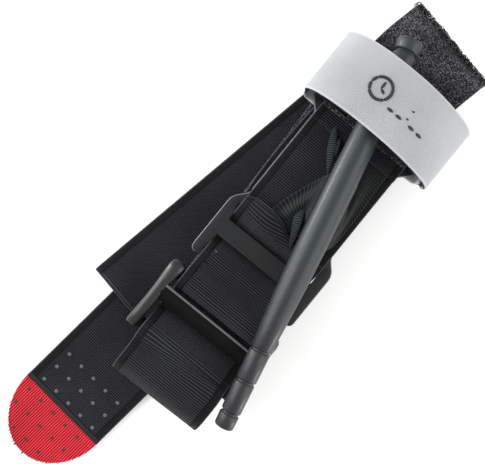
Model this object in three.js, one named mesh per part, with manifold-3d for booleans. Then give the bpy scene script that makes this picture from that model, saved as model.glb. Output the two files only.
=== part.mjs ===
// A windlass tourniquet, folded flat for carrying, in millimetres.
// +X runs along the stabilizer plate towards the securing strap, +Z is up, and the folded band's
// lowest layer lies on Z = 0. The windlass rod turns about a vertical line through SLOT.
import * as THREE from "three";
import { mergeVertices } from "three/addons/utils/BufferGeometryUtils.js";
import Module from "manifold-3d";

const wasm = await Module();
wasm.setup();

const DEG = Math.PI / 180;

// The band is a flat sleeve of three plies: a ribbed ribbon, the narrower tension band that slides
// in it, and a hook-and-loop tape. Each ply is given by where it lies across the sleeve's thickness.
const BAND_WIDTH = 38;
const TENSION_WIDTH = 25;
const RIBBON_PLY = [-1.05, -0.55];
const TENSION_PLY = [-0.45, 0.15];
const COVER_PLY = [0.25, 0.75];
const TAPE_PLY = [0.25, 1.05];
const SLEEVE_HALF = 1.05;

// Height of each folded layer's middle, from the lowest up.
const LAYER_PITCH = 2.7;
const layerZ = (n) => SLEEVE_HALF + n * LAYER_PITCH;
const TAIL_Z = layerZ(0);
const TOP_RUN_Z = 19.05; // the layer that lies on the plate
const UNDER_BAR_Z = 14.35; // the same layer where it dips under the plate's crossbar

// Stabilizer plate.
const PLATE_LOW_Z = 15.5;
const PLATE_THICK = 2.2;
const PLATE_TOP_Z = PLATE_LOW_Z + PLATE_THICK;
const PLATE_NEAR_X = -40.5;
const PLATE_FAR_X = 56;
const PLATE_HALF = 23.5;
const PLATE_WAIST_HALF = 18.7;
const SLOT_HALF = 19.2;
const CROSSBAR_X = [-30.5, -23.3];
const SLOT_WIDTH = 7;

// Windlass rod, which lies at ROD_ANGLE to the plate.
const SLOT = new THREE.Vector3(0.2, -6.6, 28.6); // the middle of the rod's band slot
const ROD_ANGLE = 13 * DEG;
const ROD_SLOT_LENGTH = 27;
const ROD_SLOT_HEIGHT = 2;
const ROD_SIDES = 24;

// Buckle: two rails, two round end bars and a tilted middle bar with teeth.
const BUCKLE_Y = 0.8;
const BUCKLE_INNER_HALF = 20;
const RAIL_WIDTH = 3.5;
const UPPER_BAR = { x: -50, z: 19.9, radius: 1.9 };
const LOWER_BAR = { x: -72.3, z: 18.7, radius: 2 };
const TOOTH_COUNT = 9;
const TOOTH_PITCH = 4;

// Securing strap, 25 wide, across the plate over the rod.
const STRAP_X = [28.8, 53.8];
const STRAP_HALF_THICK = 0.55;
const STRAP_HINGE = { y: 26.1, z: 21.5 };
const STRAP_HINGE_GAP = 1.2;

const COLOURS = {
  blackWeave: 0x1d1d20,
  blackLoop: 0x242429,
  tensionBand: 0x2b2b2f,
  redTape: 0xb3262b,
  darkPlastic: 0x2b2f31,
  rodPlastic: 0x3b4142,
  greyStrap: 0xd5d8da,
};

function material(colour, roughness) {
  return new THREE.MeshStandardMaterial({ color: colour, roughness, metalness: 0 });
}

const CLOTH = 0.9;
const PLASTIC = 0.45;
const tourniquet = new THREE.Group();

function add(name, geometry, colour, roughness, parent = tourniquet) {
  const mesh = new THREE.Mesh(geometry, material(colour, roughness));
  mesh.name = name;
  parent.add(mesh);
  return mesh;
}

// ---- Solids: joining and cutting ----

function solidOf(geometry) {
  const bare = geometry.clone();
  bare.deleteAttribute("normal");
  bare.deleteAttribute("uv");
  const merged = mergeVertices(bare, 1e-4);
  return new wasm.Manifold(new wasm.Mesh({
    numProp: 3,
    vertProperties: merged.attributes.position.array,
    triVerts: new Uint32Array(merged.index.array),
  }));
}

function geometryOf(solid) {
  const mesh = solid.getMesh();
  const geometry = new THREE.BufferGeometry();
  geometry.setAttribute("position", new THREE.BufferAttribute(mesh.vertProperties, 3));
  geometry.setIndex(new THREE.BufferAttribute(mesh.triVerts, 1));
  geometry.computeVertexNormals();
  return geometry;
}

function joined(geometries) {
  return geometryOf(geometries.map(solidOf).reduce((all, next) => all.add(next)));
}

function box(x, y, z) {
  return new THREE.BoxGeometry(x[1] - x[0], y[1] - y[0], z[1] - z[0])
    .translate((x[0] + x[1]) / 2, (y[0] + y[1]) / 2, (z[0] + z[1]) / 2);
}

// A bar of round section along Y.
function barAlongY({ x, z, radius }, y) {
  return new THREE.CylinderGeometry(radius, radius, y[1] - y[0], 20)
    .translate(x, (y[0] + y[1]) / 2, z);
}

// A polygon whose corners are rounded off.
function roundedShape(corners, radius, Kind = THREE.Shape) {
  const shape = new Kind();
  corners.forEach((corner, i) => {
    const [before, here, after] = [corners.at(i - 1), corner, corners[(i + 1) % corners.length]]
      .map(([x, y]) => new THREE.Vector2(x, y));
    const into = here.clone().lerp(before, Math.min(0.45, radius / here.distanceTo(before)));
    const out = here.clone().lerp(after, Math.min(0.45, radius / here.distanceTo(after)));
    if (i === 0) shape.moveTo(into.x, into.y);
    else shape.lineTo(into.x, into.y);
    shape.quadraticCurveTo(here.x, here.y, out.x, out.y);
  });
  shape.closePath();
  return shape;
}

// A section drawn in X and Z, extruded along Y.
function extrudedAlongY(shape, y) {
  return new THREE.ExtrudeGeometry(shape, { depth: y[1] - y[0], bevelEnabled: false, curveSegments: 4 })
    .rotateX(Math.PI / 2)
    .translate(0, y[1], 0);
}

// ---- Strips: a flat band swept through stations ----
// A station has its place, the direction of the band's width, and the direction of its thickness.

function stripGeometry(stations, width, [low, high]) {
  const points = [];
  for (const { at, side, normal } of stations) {
    for (const [w, t] of [[-width / 2, low], [width / 2, low], [width / 2, high], [-width / 2, high]]) {
      points.push(...at.clone().addScaledVector(side, w).addScaledVector(normal, t).toArray());
    }
  }
  const faces = [];
  const last = 4 * (stations.length - 1);
  for (let row = 0; row < last; row += 4) {
    for (let j = 0; j < 4; j++) {
      const [a, b] = [row + j, row + ((j + 1) % 4)];
      faces.push(a, b, b + 4, a, b + 4, a + 4);
    }
  }
  faces.push(0, 2, 1, 0, 3, 2, last, last + 1, last + 2, last, last + 2, last + 3);
  const geometry = new THREE.BufferGeometry();
  geometry.setAttribute("position", new THREE.Float32BufferAttribute(points, 3));
  geometry.setIndex(faces);
  geometry.computeVertexNormals();
  return geometry;
}

// heading turns the band in plan; pitch tips it up, and is -180 degrees on a run that comes back.
function bandStation(x, y, z, heading, pitch) {
  const along = new THREE.Vector3(
    Math.cos(heading) * Math.cos(pitch), Math.sin(heading) * Math.cos(pitch), Math.sin(pitch));
  const side = new THREE.Vector3(-Math.sin(heading), Math.cos(heading), 0);
  const normal = new THREE.Vector3().crossVectors(along, side);
  return { at: new THREE.Vector3(x, y, z), side, normal, heading };
}

// A run of the band through given points. back is true where it travels towards -X.
function run(points, back, perSpan = 3) {
  const curve = new THREE.CatmullRomCurve3(
    points.map((p) => new THREE.Vector3(...p)), false, "centripetal");
  const count = perSpan * (points.length - 1);
  return Array.from({ length: count + 1 }, (_, i) => {
    const at = curve.getPoint(i / count);
    const along = curve.getTangent(i / count);
    const slope = Math.atan2(along.z, Math.hypot(along.x, along.y));
    const heading = back ? Math.atan2(-along.y, -along.x) : Math.atan2(along.y, along.x);
    return bandStation(at.x, at.y, at.z, heading, back ? -Math.PI - slope : slope);
  });
}

// A half-circle fold that carries the band down from one run to the next. It leaves out both ends.
function fold(from, to, back, steps = 8) {
  const radius = (from.at.z - to.at.z) / 2;
  return Array.from({ length: steps - 1 }, (_, i) => {
    const share = (i + 1) / steps;
    const pitch = (back ? share - 1 : -share) * Math.PI;
    const heading = from.heading + share * (to.heading - from.heading);
    const place = bandStation(from.at.x, from.at.y, from.at.z - radius, heading, pitch);
    place.at.addScaledVector(place.normal, back ? -radius : radius);
    return place;
  });
}

// ---- The band's route, from its fixed end at the buckle to the hinge of its loose tail ----

// The tension band leaves the sleeve between these two lips, a little off the band's middle.
const BUCKLE_LIP_X = 14;
const CLIP_LIP_X = 24;
const FLAP_Y = -3.5;
const TAPE_START_X = 30;

// A smooth change of height between two places along X.
function ramp(fromX, fromZ, toX, toZ) {
  return [0, 0.2, 0.4, 0.6, 0.8, 1].map((u) => {
    const eased = u * u * (3 - 2 * u);
    return [fromX + u * (toX - fromX), 0, fromZ + eased * (toZ - fromZ)];
  });
}

// Points round the buckle's lower bar, clear of it by the sleeve's half thickness.
const overLowerBar = [35, 65, 95].map((turn) => {
  const reach = LOWER_BAR.radius + SLEEVE_HALF + 0.7;
  return [LOWER_BAR.x + reach * Math.cos(turn * DEG), 0, LOWER_BAR.z + reach * Math.sin(turn * DEG)];
});

const [BAR_NEAR, BAR_FAR] = CROSSBAR_X;
const topRun = run([
  [-49.7, 0, 23.1], [-47, 0, 22.3], [-44.4, 0, 20.1], [-41.2, 0, TOP_RUN_Z],
  ...ramp(BAR_NEAR - SLOT_WIDTH - 0.1, TOP_RUN_Z, BAR_NEAR - 0.1, UNDER_BAR_Z),
  ...ramp(BAR_FAR + 0.1, UNDER_BAR_Z, BAR_FAR + SLOT_WIDTH + 0.1, TOP_RUN_Z),
  [-BUCKLE_LIP_X, 0, TOP_RUN_Z], [CLIP_LIP_X, 0, TOP_RUN_Z], [TAPE_START_X, 0, TOP_RUN_Z],
  [45, 0, TOP_RUN_Z], [60, -0.9, TOP_RUN_Z], [72.2, -3.3, TOP_RUN_Z],
], false);
const secondRun = run([
  [72.2, -3.3, layerZ(4)], [60, -0.9, layerZ(4)], [30, 1.6, layerZ(4)], [0, 2.4, layerZ(4)],
  [-28, -0.4, layerZ(4)], [-49, -0.2, layerZ(4)], [-55.5, 0, 12.2], [-60.3, 0, 13.5],
  [-64.3, 0, 16.2], [-66.9, 0, 18.6], ...overLowerBar, [-77.5, -0.5, 22.9], [-83.6, -0.6, 22.8],
], true);
const thirdRun = run([
  [-83.6, -0.6, layerZ(3)], [-60, 0, layerZ(3)], [-30, 1.2, layerZ(3)], [0, 2.6, layerZ(3)],
  [40, 3.4, layerZ(3)], [54, 3.1, layerZ(3)],
], false, 2);
const fourthRun = run([[54, 3.1, layerZ(2)], [40, 5.8, layerZ(2)], [-71.6, 27.5, layerZ(2)]], true, 3);
const TAIL_START = [52.2, 3.3]; // both layers stop 0.8 short of the tail's hinge, which bridges them
const fifthRun = run([[-71.6, 27.5, layerZ(1)], [40, 5.8, layerZ(1)], [...TAIL_START, layerZ(1)]], false, 3);
const foldedRoute = [
  ...topRun,
  ...fold(topRun.at(-1), secondRun[0], false), ...secondRun,
  ...fold(secondRun.at(-1), thirdRun[0], true), ...thirdRun,
  ...fold(thirdRun.at(-1), fourthRun[0], false, 6), ...fourthRun,
  ...fold(fourthRun.at(-1), fifthRun[0], true, 6), ...fifthRun,
];
const tailRun = run([[...TAIL_START, TAIL_Z], [-26.5, 12.2, TAIL_Z], [-121, 23, TAIL_Z]], true, 2);

const topBetween = (low, high) =>
  topRun.filter((s) => s.at.x >= low - 1e-6 && s.at.x <= high + 1e-6);
const firstOfTape = foldedRoute.findIndex((s) => s.at.x >= TAPE_START_X - 1e-6);

function addFoldedBand() {
  add("base_ribbon", stripGeometry(foldedRoute, BAND_WIDTH, RIBBON_PLY), COLOURS.blackWeave, CLOTH);
  const buckleSide = topBetween(UPPER_BAR.x, -BUCKLE_LIP_X);
  add("cover_ribbon_buckle_side", stripGeometry(buckleSide, BAND_WIDTH, COVER_PLY), COLOURS.blackWeave,
    CLOTH);
  add("cover_ribbon_clip_side", stripGeometry(topBetween(CLIP_LIP_X, TAPE_START_X - 0.5), BAND_WIDTH,
    COVER_PLY), COLOURS.blackWeave, CLOTH);
  add("hook_loop_tape", stripGeometry(foldedRoute.slice(firstOfTape), BAND_WIDTH, TAPE_PLY),
    COLOURS.blackLoop, CLOTH);
  add("tension_band_buckle_run", stripGeometry(buckleSide, TENSION_WIDTH, TENSION_PLY),
    COLOURS.tensionBand, CLOTH);
  const fromLip = foldedRoute.findIndex((s) => s.at.x >= CLIP_LIP_X - 1e-6);
  add("tension_band_sleeve_run", stripGeometry(foldedRoute.slice(fromLip), TENSION_WIDTH, TENSION_PLY),
    COLOURS.tensionBand, CLOTH);
}

// The sleeve's fixed end goes round the buckle's upper bar and is sewn back under itself.
function addBuckleLoop() {
  const radius = 3.2;
  const under = [-44.4, -47, UPPER_BAR.x].map((x) =>
    bandStation(x, 0, UPPER_BAR.z - radius, 0, -Math.PI));
  const steps = 10;
  const around = Array.from({ length: steps }, (_, i) => {
    const place = bandStation(UPPER_BAR.x, 0, UPPER_BAR.z, 0,
      -Math.PI - ((i + 0.9) / steps) * Math.PI);
    place.at.addScaledVector(place.normal, radius);
    return place;
  });
  add("buckle_end_loop", stripGeometry([...under, ...around], BAND_WIDTH, [RIBBON_PLY[0], COVER_PLY[1]]),
    COLOURS.blackWeave, CLOTH);
}

function addTail() {
  add("tail_ribbon", stripGeometry(tailRun, BAND_WIDTH, RIBBON_PLY), COLOURS.blackWeave, CLOTH);
  add("tail_tension_band", stripGeometry(tailRun, TENSION_WIDTH, TENSION_PLY),
    COLOURS.tensionBand, CLOTH);
  add("tail_loop_tape", stripGeometry(tailRun, BAND_WIDTH, TAPE_PLY), COLOURS.blackLoop, CLOTH);
}

// The tip is drawn along its own -X, then turned in line with the tail.
function addRedTip() {
  const length = 22.4;
  const gap = 0.3;
  const thick = 1.9;
  const half = BAND_WIDTH / 2;
  const shape = new THREE.Shape();
  shape.moveTo(-gap, -half);
  shape.lineTo(-gap, half);
  shape.absellipse(-gap, 0, length - gap, half, Math.PI / 2, (3 * Math.PI) / 2, false, 0);
  shape.closePath();
  const geometry = new THREE.ExtrudeGeometry(shape, { depth: thick, bevelEnabled: false, curveSegments: 20 });
  const tip = add("red_tip_tape", geometry, COLOURS.redTape, CLOTH);
  const end = tailRun.at(-1);
  tip.position.set(end.at.x, end.at.y, TAIL_Z - thick / 2);
  tip.rotation.z = end.heading;
}

// ---- Where the tension band comes out of the sleeve and goes through the rod ----

const rodAlong = new THREE.Vector3(Math.cos(ROD_ANGLE), Math.sin(ROD_ANGLE), 0);
const rodAcross = new THREE.Vector3(-Math.sin(ROD_ANGLE), Math.cos(ROD_ANGLE), 0);

// A sheet of even thickness over a grid of points; pointAt takes u and v from 0 to 1.
function sheetGeometry(pointAt, columns, rows, thick) {
  const stepSize = 1e-3;
  const points = [];
  for (const face of [-0.5, 0.5]) {
    for (let j = 0; j <= rows; j++) {
      for (let i = 0; i <= columns; i++) {
        const [u, v] = [i / columns, j / rows];
        const du = pointAt(u + stepSize, v).sub(pointAt(u - stepSize, v));
        const dv = pointAt(u, v + stepSize).sub(pointAt(u, v - stepSize));
        points.push(...pointAt(u, v).addScaledVector(du.cross(dv).normalize(), face * thick).toArray());
      }
    }
  }
  const wide = columns + 1;
  const upper = wide * (rows + 1);
  const faces = [];
  const quad = (a, b, c, d) => faces.push(a, b, c, a, c, d);
  for (let j = 0; j < rows; j++) {
    for (let i = 0; i < columns; i++) {
      const [a, b, c, d] = [j * wide + i, j * wide + i + 1, (j + 1) * wide + i + 1, (j + 1) * wide + i];
      quad(a, d, c, b);
      quad(a + upper, b + upper, c + upper, d + upper);
    }
  }
  for (let i = 0; i < columns; i++) {
    const far = rows * wide + i;
    quad(i, i + 1, i + 1 + upper, i + upper);
    quad(far + 1, far, far + upper, far + 1 + upper);
  }
  for (let j = 0; j < rows; j++) {
    const [low, high] = [j * wide, (j + 1) * wide];
    quad(high, low, low + upper, high + upper);
    quad(low + columns, high + columns, high + columns + upper, low + columns + upper);
  }
  const geometry = new THREE.BufferGeometry();
  geometry.setAttribute("position", new THREE.Float32BufferAttribute(points, 3));
  geometry.setIndex(faces);
  geometry.computeVertexNormals();
  return geometry;
}

// u goes from the sleeve's lip to the rod's slot, v across the band. way is 1 for the buckle side
// and -1 for the clip side. Each flap passes under the rod and comes up on its far side.
function flapPoint(u, v, way) {
  const across = v - 0.5;
  const [lipX, reach, shift] = way > 0 ? [-BUCKLE_LIP_X, 4, 4] : [CLIP_LIP_X, 9, 0];
  const lip = new THREE.Vector3(lipX + way * 0.3, FLAP_Y + way * across * TENSION_WIDTH, TOP_RUN_Z);
  const slotEdge = SLOT.clone()
    .addScaledVector(rodAlong, way * across * TENSION_WIDTH)
    .addScaledVector(rodAcross, way * 5.9);
  const outOfLip = lip.clone().add(new THREE.Vector3(way * reach, way * shift, 0.3));
  const intoSlot = slotEdge.clone().addScaledVector(rodAcross, way * 5.5).add(new THREE.Vector3(0, 0, -5.5));
  return new THREE.CubicBezierCurve3(lip, outOfLip, intoSlot, slotEdge).getPoint(u);
}

function addFlaps() {
  for (const [name, way] of [["tension_band_flap_buckle_side", 1], ["tension_band_flap_clip_side", -1]]) {
    add(name, sheetGeometry((u, v) => flapPoint(u, v, way), 8, 5, 0.6), COLOURS.tensionBand, CLOTH);
  }
}

// ---- Windlass rod, drawn along its own X axis with the slot at its middle ----

function rodProfile() {
  const [tail, knob] = [-83, 65.6];
  const points = [[tail, 0], [tail, 3.1], [tail + 0.5, 3.5]];
  for (const groove of [-77.3, -65.3, -53.4]) {
    const radius = 3.5 + (groove - tail) * 0.012;
    points.push([groove - 0.7, radius], [groove - 0.3, radius - 0.5], [groove + 0.3, radius - 0.5],
      [groove + 0.7, radius + 0.1]);
  }
  points.push([-42, 4.4], [-34, 4.75], [-24, 5], [-12, 5.2], [12, 5.2], [26, 4.9], [40, 4.6], [53, 4.3]);
  points.push([60, 4.1], [60.4, 3.5], [60.9, 3.5], [61.3, 4.2], [64.4, 4.7], [65.2, 4.5], [knob, 3.9],
    [knob, 0]);
  return points.map(([s, r]) => new THREE.Vector2(r, s));
}

function addRod() {
  const rod = new THREE.Group();
  rod.position.copy(SLOT);
  rod.rotation.z = ROD_ANGLE;
  tourniquet.add(rod);
  const turned = new THREE.LatheGeometry(rodProfile(), ROD_SIDES).rotateZ(-Math.PI / 2);
  const half = ROD_SLOT_LENGTH / 2;
  const cut = box([-half, half], [-9, 9], [-ROD_SLOT_HEIGHT / 2, ROD_SLOT_HEIGHT / 2]);
  add("windlass_rod", geometryOf(solidOf(turned).subtract(solidOf(cut))), COLOURS.rodPlastic, PLASTIC, rod);
  const inSlot = box([-TENSION_WIDTH / 2, TENSION_WIDTH / 2], [-5.5, 5.5], [-0.3, 0.3]);
  add("tension_band_in_slot", inSlot, COLOURS.tensionBand, CLOTH, rod);
}

// ---- Plate, clip and buckle ----

function addPlate() {
  const [barNear, barFar] = CROSSBAR_X;
  const right = [
    [PLATE_NEAR_X, PLATE_HALF], [-16, PLATE_HALF], [-11, PLATE_WAIST_HALF], [26.5, PLATE_WAIST_HALF],
    [30.5, PLATE_HALF], [PLATE_FAR_X, PLATE_HALF],
  ];
  const outline = roundedShape([...right.map(([x, y]) => [x, -y]), ...right.toReversed()], 2.5);
  for (const [low, high] of [[barNear - SLOT_WIDTH, barNear], [barFar, barFar + SLOT_WIDTH]]) {
    outline.holes.push(roundedShape(
      [[low, -SLOT_HALF], [low, SLOT_HALF], [high, SLOT_HALF], [high, -SLOT_HALF]], 0.8, THREE.Path));
  }
  const plate = add("stabilizer_plate", new THREE.ExtrudeGeometry(outline,
    { depth: PLATE_THICK, bevelEnabled: false, curveSegments: 4 }), COLOURS.darkPlastic, PLASTIC);
  plate.position.z = PLATE_LOW_Z;
}

// A bridge over the band, with a hook that the rod lies in. The hook is open towards -Y.
function addClip() {
  const seat = PLATE_TOP_Z + 0.05;
  const [low, high] = [31.2, 52.2];
  const [legIn, legOut] = [20.4, 23.2];
  const [bridgeLow, bridgeTop] = [20.7, 23];
  const legs = [1, -1].map((way) =>
    box([low, high], [legIn * way, legOut * way].sort((a, b) => a - b), [seat, bridgeTop]));
  const bridge = box([low, high], [-legOut, legOut], [bridgeLow, bridgeTop]);
  const [wallIn, wallOut, lipEnd] = [5.6, 7.8, -1.5];
  const [lipLow, lipTop] = [34, 36];
  const section = roundedShape([
    [wallIn, bridgeLow + 0.5], [wallOut, bridgeLow + 0.5], [wallOut, lipTop], [lipEnd, lipTop],
    [lipEnd, lipLow], [wallIn, lipLow],
  ], 0.9);
  const hook = new THREE.ExtrudeGeometry(section, { depth: 17.5, bevelEnabled: false, curveSegments: 3 })
    .rotateX(Math.PI / 2)
    .rotateZ(Math.PI / 2)
    .translate(33.8, 0, 0)
    .rotateZ(ROD_ANGLE)
    .translate(SLOT.x, SLOT.y, 0);
  add("windlass_clip", joined([bridge, ...legs, hook]), COLOURS.darkPlastic, PLASTIC);
}

function addBuckle() {
  const innerLow = BUCKLE_Y - BUCKLE_INNER_HALF;
  const innerHigh = BUCKLE_Y + BUCKLE_INNER_HALF;
  const bite = 1; // how far each bar runs into the rails
  const across = [innerLow - bite, innerHigh + bite];
  const railShape = roundedShape(
    [[-74.7, 16.4], [-71, 16], [-50, 17.4], [-46.6, 18], [-46.6, 22.2], [-57, 23.4], [-68, 22.6],
      [-74.7, 20.8]], 1.4);
  const barShape = roundedShape(
    [[-61.4, 19], [-55.8, 20.6], [-55.5, 22.7], [-58.6, 23.2], [-61.6, 21.2]], 0.5);
  const middle = BUCKLE_Y - ((TOOTH_COUNT - 1) * TOOTH_PITCH) / 2;
  const teeth = Array.from({ length: TOOTH_COUNT }, (_, i) => {
    const y = middle + i * TOOTH_PITCH;
    return box([-62.5, -60.8], [y - 0.9, y + 0.9], [19.6, 20.8]);
  });
  add("friction_buckle", joined([
    extrudedAlongY(railShape, [innerLow - RAIL_WIDTH, innerLow]),
    extrudedAlongY(railShape, [innerHigh, innerHigh + RAIL_WIDTH]),
    barAlongY(UPPER_BAR, across), barAlongY(LOWER_BAR, across),
    extrudedAlongY(barShape, across), ...teeth,
  ]), COLOURS.darkPlastic, PLASTIC);
}

// ---- Securing strap: routes drawn in Y and Z, and swept along X ----

function strapStations(points, perSpan = 3) {
  const curve = new THREE.CatmullRomCurve3(
    points.map(([y, z]) => new THREE.Vector3((STRAP_X[0] + STRAP_X[1]) / 2, y, z)), false, "centripetal");
  const count = perSpan * (points.length - 1);
  return Array.from({ length: count + 1 }, (_, i) => {
    const side = new THREE.Vector3(1, 0, 0);
    const along = curve.getTangent(i / count);
    return { at: curve.getPoint(i / count), side, normal: new THREE.Vector3().crossVectors(along, side) };
  });
}

function addSecuringStrap() {
  const width = STRAP_X[1] - STRAP_X[0];
  const ply = [-STRAP_HALF_THICK, STRAP_HALF_THICK];
  const { y, z } = STRAP_HINGE;
  const base = strapStations([
    [-25.6, 21.6], [-25.6, 18.2], [-24.4, 15], [-21.6, 14.45], [21.6, 14.45], [24.9, 15.1], [y, 17.8],
    [y, z - STRAP_HINGE_GAP],
  ]);
  add("securing_strap_base", stripGeometry(base, width, ply), COLOURS.greyStrap, CLOTH);
  const tab = strapStations([[-25.6, 21.4], [-25.6, 18.4]], 1);
  add("strap_loop_patch", stripGeometry(tab, width - 1, [0.65, 1.3]), COLOURS.blackLoop, CLOTH);
  const over = strapStations([
    [-28.3, 17.4], [-28.6, 21.5], [-26.3, 26.8], [-19.5, 32.2], [-8, 36.8], [3, 38], [13, 37.2],
    [22, 33.4], [y + 0.2, 28], [y, z + STRAP_HINGE_GAP],
  ]);
  add("securing_strap", stripGeometry(over, width, ply), COLOURS.greyStrap, CLOTH);
  const lined = over.filter((s) => s.at.y < -6);
  add("strap_hook_patch", stripGeometry(lined, width - 1, [0.65, 1.35]), COLOURS.blackLoop, CLOTH);
}

addPlate();
addClip();
addBuckle();
addRod();
addFoldedBand();
addBuckleLoop();
addFlaps();
addTail();
addRedTip();
addSecuringStrap();

export default tourniquet;
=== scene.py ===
"""A folded windlass tourniquet: the visible fabric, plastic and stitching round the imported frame."""
import math
import random

import bmesh
import bpy
import numpy as np
from mathutils import Matrix, Vector, noise


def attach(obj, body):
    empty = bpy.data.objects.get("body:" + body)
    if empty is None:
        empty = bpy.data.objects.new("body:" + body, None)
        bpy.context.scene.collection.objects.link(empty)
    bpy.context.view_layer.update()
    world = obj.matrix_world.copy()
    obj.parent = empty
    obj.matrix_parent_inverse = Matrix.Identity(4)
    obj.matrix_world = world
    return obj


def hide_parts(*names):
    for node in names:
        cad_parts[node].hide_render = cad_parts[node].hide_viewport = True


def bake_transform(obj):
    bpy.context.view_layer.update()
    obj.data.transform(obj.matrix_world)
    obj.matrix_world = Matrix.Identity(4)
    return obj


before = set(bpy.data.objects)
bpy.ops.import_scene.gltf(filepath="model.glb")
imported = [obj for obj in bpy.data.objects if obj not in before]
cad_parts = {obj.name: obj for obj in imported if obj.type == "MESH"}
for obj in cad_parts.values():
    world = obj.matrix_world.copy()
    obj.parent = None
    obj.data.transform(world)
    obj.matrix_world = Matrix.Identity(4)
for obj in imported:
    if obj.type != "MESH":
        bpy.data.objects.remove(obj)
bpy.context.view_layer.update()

MM = 0.001
DEG = math.pi / 180
random.seed(11)

# ---- Sizes in millimetres, the same as the design's ----
BAND_WIDTH = 38
TENSION_WIDTH = 25
RIBBON_PLY = (-1.05, -0.55)
TENSION_PLY = (-0.45, 0.15)
COVER_PLY = (0.25, 0.75)
TAPE_PLY = (0.25, 1.05)
LAYER_Z = [1.05 + 2.7 * n for n in range(5)]
TOP_RUN_Z = 19.05
UNDER_BAR_Z = 14.35
CROSSBAR_X = (-30.5, -23.3)
PLATE_SLOT = 7
BUCKLE_LIP_X = 14
CLIP_LIP_X = 24
FLAP_Y = -3.5
TAPE_START_X = 30
UPPER_BAR = (-50, 19.9)
END_LOOP_RADIUS = 3.2
LOWER_BAR = (-72.3, 18.7)
LOWER_BAR_REACH = 3.75
SLOT = Vector((0.2, -6.6, 28.6))
ROD_ANGLE = 13 * DEG
ROD_ALONG = Vector((math.cos(ROD_ANGLE), math.sin(ROD_ANGLE), 0))
ROD_ACROSS = Vector((-math.sin(ROD_ANGLE), math.cos(ROD_ANGLE), 0))
STRAP_X = (28.8, 53.8)
STRAP_HINGE = (26.1, 21.5)
STRAP_PLY = (-0.5, 0.5)
RED_LENGTH = 22.4

# ---- Sizes of the visible detail, in millimetres ----
STEP = 1.3  # spacing of the rows along a ribbon
HEM = 16.3  # where each hem's seam lies, from the band's middle
STITCH = 2.1
STITCH_GAP = 0.55
YARN_PITCH = 0.45  # of the yarns that cross the ribs
WEFT_PITCH = 0.58
WARP_PITCH = 0.53
STRAP_SELVEDGE = 11.7  # where the strap's denser edges begin, from its middle
DOT_COLUMNS = [6.6 * n for n in (-2, -1, 0, 1, 2)]
RED_DOT_SHIFT = 1.6
BUCKLE_Y = 0.8
BUCKLE_INNER_HALF = 20
HIGHLIGHT_SIDE_Y = 18.2  # edges of the plate and clip further out than this, facing up, get a painted highlight

# Folds in the tension band beside the rod: points along each fold, and its width.
PLEATS = {
    "buckle": [([(0, 3.4, 21), (-6, 0.6, 22.4), (-12, -2, 22.4), (-18, -4.6, 20.6)], 3.6)],
    "clip": [([(26, 9.8, 20), (20.5, 7, 22), (15, 3.8, 22.6), (10.5, 0.8, 21.6)], 3.0),
             ([(24, 6.6, 20), (21.5, 5.7, 22.4), (18.5, 4.3, 22.8), (16, 3, 22)], 2.4)],
}

# ---- Camera and lights ----
VIEW_TURN = 51 * DEG  # how far the plate's direction is turned from the picture's right
CAMERA_AT = (-24, 12, 262)
FOCAL = 50


def linked(name, data):
    made = bpy.data.objects.new(name, data)
    bpy.context.collection.objects.link(made)
    return made


def make_camera():
    data = bpy.data.cameras.new("camera")
    data.lens = FOCAL
    camera = linked("camera", data)
    camera.matrix_world = Matrix.Translation(Vector(CAMERA_AT) * MM) @ Matrix.Rotation(-VIEW_TURN, 4, "Z")
    bpy.context.scene.camera = camera


def area_light(name, place, size, watts):
    data = bpy.data.lights.new(name, "AREA")
    data.energy, data.size = watts, size
    lamp = linked(name, data)
    lamp.location = place
    lamp.rotation_euler = (Vector((-0.03, 0, 0.02)) - Vector(place)).to_track_quat("-Z", "Y").to_euler()


def make_stage():
    world = bpy.data.worlds.new("studio")
    world.use_nodes = True
    world.node_tree.nodes["Background"].inputs["Color"].default_value = (1, 1, 1, 1)
    world.node_tree.nodes["Background"].inputs["Strength"].default_value = 0.7
    bpy.context.scene.world = world
    bpy.context.scene.view_settings.view_transform = "Standard"
    area_light("key", (-0.18, 0.52, 0.4), 0.5, 3.6)
    area_light("side", (0.2, -0.45, 0.42), 0.5, 2.2)
    area_light("left_rim", (-0.05, 0.6, 0.06), 0.14, 2.2)
    area_light("right_rim", (-0.12, -0.6, 0.05), 0.14, 1.6)
    floor_mesh = bpy.data.meshes.new("floor")
    half = 1.6
    floor_mesh.from_pydata([(-half, -half, 0), (half, -half, 0), (half, half, 0), (-half, half, 0)], [],
                           [(0, 1, 2, 3)])
    floor = linked("floor", floor_mesh)
    floor_mesh.materials.append(plain("floor_paper", (0.93, 0.93, 0.92), 0.9, Emission_Strength=0.17,
                                      Emission_Color=(1, 1, 1, 1)))
    floor.location.z = -0.0002


# ---- Materials ----

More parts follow.
